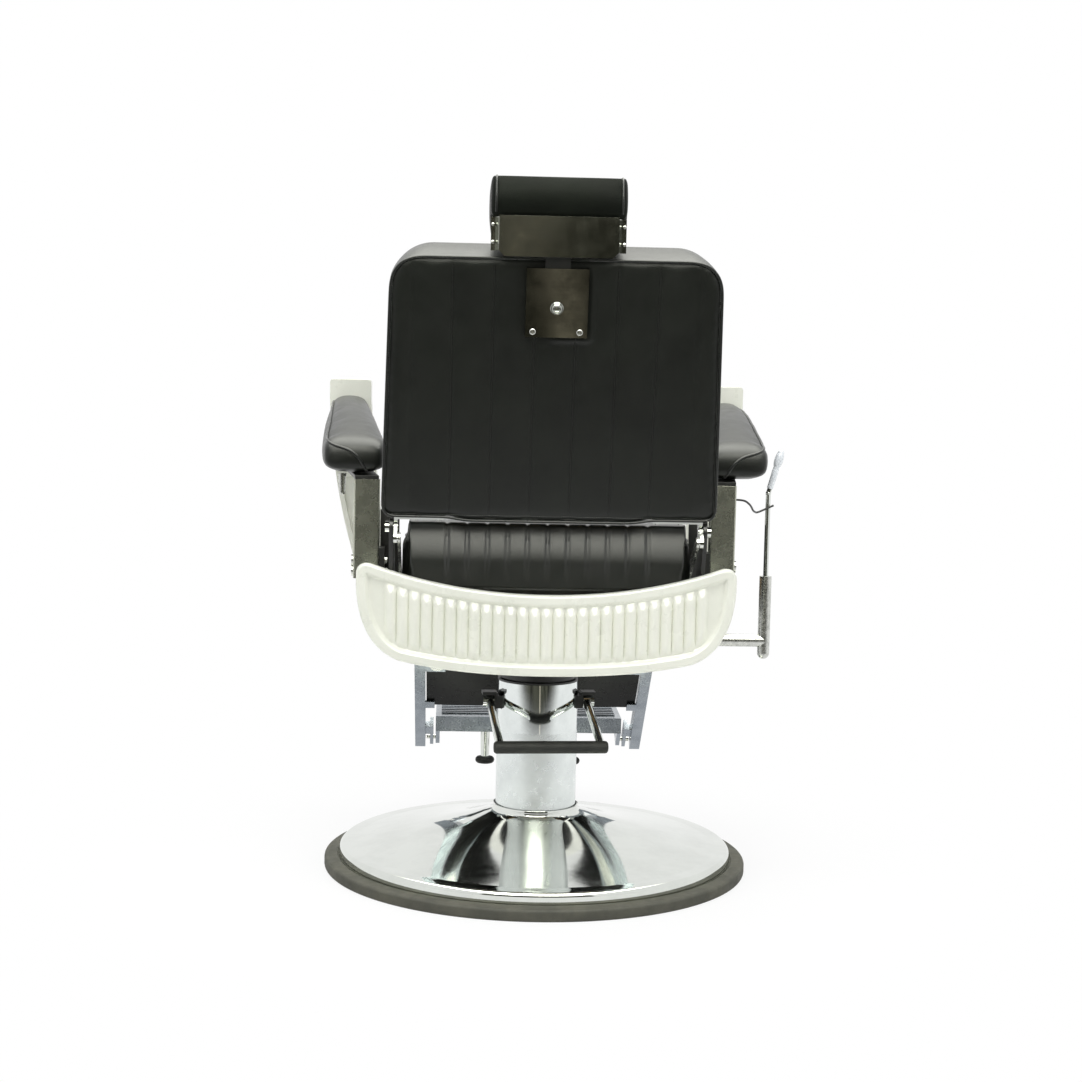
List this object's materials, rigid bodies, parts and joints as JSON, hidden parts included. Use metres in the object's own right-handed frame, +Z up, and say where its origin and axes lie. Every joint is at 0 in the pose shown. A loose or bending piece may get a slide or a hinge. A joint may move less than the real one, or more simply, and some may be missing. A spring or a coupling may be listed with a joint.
{
  "type": "hydraulic barber chair",
  "caption": "Hydraulic barber chair with a round chrome pump base, swivelling seat, fluted rear skirt, reclining back, sliding headrest and linked footrest.",
  "frame": {"origin": "floor level under the middle of the pump column", "axes": "+Z up, -Y towards the sitter's front, +X towards the sitter's left"},
  "size_m": [0.7267, 0.8611, 1.0573],
  "materials": {
    "chrome": "mirror polished chrome plate",
    "black_vinyl": "soft black upholstery vinyl, satin",
    "white_enamel": "warm white enamel, semi-gloss",
    "black_paint": "black paint, semi-gloss",
    "steel": "polished bright steel",
    "rubber": "moulded black rubber, matt",
    "aluminium": "satin anodised aluminium",
    "bronze": "machined bearing bronze",
    "plywood": "raw birch plywood",
    "ivory_plastic": "pale glossy plastic"
  },
  "bodies": {
    "base": {"base_plate": "steel", "base_cover": "chrome", "base_ring": "rubber", "base_bolts": "steel", "ram": "steel", "ram_piston": "bronze"},
    "lift": {"lift_cylinder": "steel", "guide_bush": "bronze", "wiper_seal": "rubber", "column_sleeve": "chrome", "pump_yoke": "black_paint", "pump_head": "black_paint", "swivel_bearing": "steel", "pedal_pins": "steel"},
    "plunger": {"pump_plunger": "steel"},
    "pedal": {"pump_pedal": "chrome", "pedal_rubber": "rubber"},
    "seat": {"swivel_hub": "black_paint", "seat_frame": "black_paint", "seat_board": "plywood", "seat_cushion": "black_vinyl", "rear_skirt": "white_enamel", "arm_post_left": "steel", "arm_post_right": "steel", "arm_rails": "steel", "arm_pad_left": "black_vinyl", "arm_pad_right": "black_vinyl", "arm_front_left": "white_enamel", "arm_front_right": "white_enamel", "arm_bolts": "steel", "hinge_plates": "steel", "hinge_pins": "steel", "footrest_pins": "steel", "lever_hook": "black_paint", "arm_peg": "rubber"},
    "back": {"back_board": "plywood", "back_cushion": "black_vinyl", "back_panel": "black_vinyl", "hinge_bars": "chrome", "hinge_bolts": "steel", "headrest_holder": "chrome", "holder_knob": "chrome", "holder_screws": "steel"},
    "stem": {"headrest_stem": "black_paint"},
    "headrest": {"headrest_bracket": "chrome", "headrest_pad": "black_vinyl", "headrest_screws": "steel"},
    "links": {"recline_links": "steel"},
    "lever": {"recline_lever": "steel", "lever_rod": "steel", "lever_knob": "ivory_plastic"},
    "footrest": {"footrest_bar_left": "aluminium", "footrest_bar_right": "aluminium", "footrest_bolts": "steel", "calf_board": "black_paint", "calf_pad": "black_vinyl"},
    "footplate": {"footplate": "aluminium", "footplate_posts": "chrome", "post_tips": "rubber"}
  },
  "joints": [
    {"name": "column_lift", "type": "slide", "parent": "base", "child": "lift", "axis": [0, 0, 1], "range_m": [0, 0.15]},
    {"name": "seat_swivel", "type": "hinge", "parent": "lift", "child": "seat", "pos_m": [0, 0, 0.303], "axis": [0, 0, 1], "continuous": true},
    {"name": "pedal_pump", "type": "hinge", "parent": "lift", "child": "pedal", "pos_m": [-0.00094, 0.01196, 0.267], "axis": [-0.9969, -0.0785, 0], "range_deg": [0, 22], "stiffness_Nm_per_rad": 8, "springref_deg": -28.65},
    {"name": "plunger_stroke", "type": "slide", "parent": "lift", "child": "plunger", "axis": [0, 0, -1], "range_m": [0, 0.0085]},
    {"name": "back_recline", "type": "hinge", "parent": "seat", "child": "back", "pos_m": [0, 0.24003, 0.56104], "axis": [-1, 0, 0], "range_deg": [0, 45]},
    {"name": "link_swing", "type": "hinge", "parent": "back", "child": "links", "pos_m": [0, 0.25917, 0.54656], "axis": [-1, 0, 0], "range_deg": [-45.5, 0.5]},
    {"name": "footrest_raise", "type": "hinge", "parent": "seat", "child": "footrest", "pos_m": [0, -0.13, 0.344], "axis": [-1, 0, 0], "range_deg": [0, 36.3]},
    {"name": "footplate_flip", "type": "hinge", "parent": "footrest", "child": "footplate", "pos_m": [0, -0.3704, 0.1328], "axis": [-1, 0, 0], "range_deg": [0, 85]},
    {"name": "headrest_slide", "type": "slide", "parent": "back", "child": "stem", "axis": [0, 0.2504, 0.9681], "range_m": [0, 0.06]},
    {"name": "headrest_tilt", "type": "hinge", "parent": "stem", "child": "headrest", "pos_m": [0, 0.35774, 0.95429], "axis": [-1, 0, 0], "range_deg": [0, 25]},
    {"name": "lever_pull", "type": "hinge", "parent": "seat", "child": "lever", "pos_m": [0, 0.045, 0.374], "axis": [1, 0, 0], "range_deg": [0, 20], "stiffness_Nm_per_rad": 6, "springref_deg": -22.92}
  ],
  "couplings": [
    {"joint": "plunger_stroke", "follows": "pedal_pump", "m_per_rad": 0.0208},
    {"joint": "link_swing", "follows": "back_recline", "ratio": -1},
    {"joint": "footrest_raise", "follows": "back_recline", "ratio": 0.8}
  ]
}
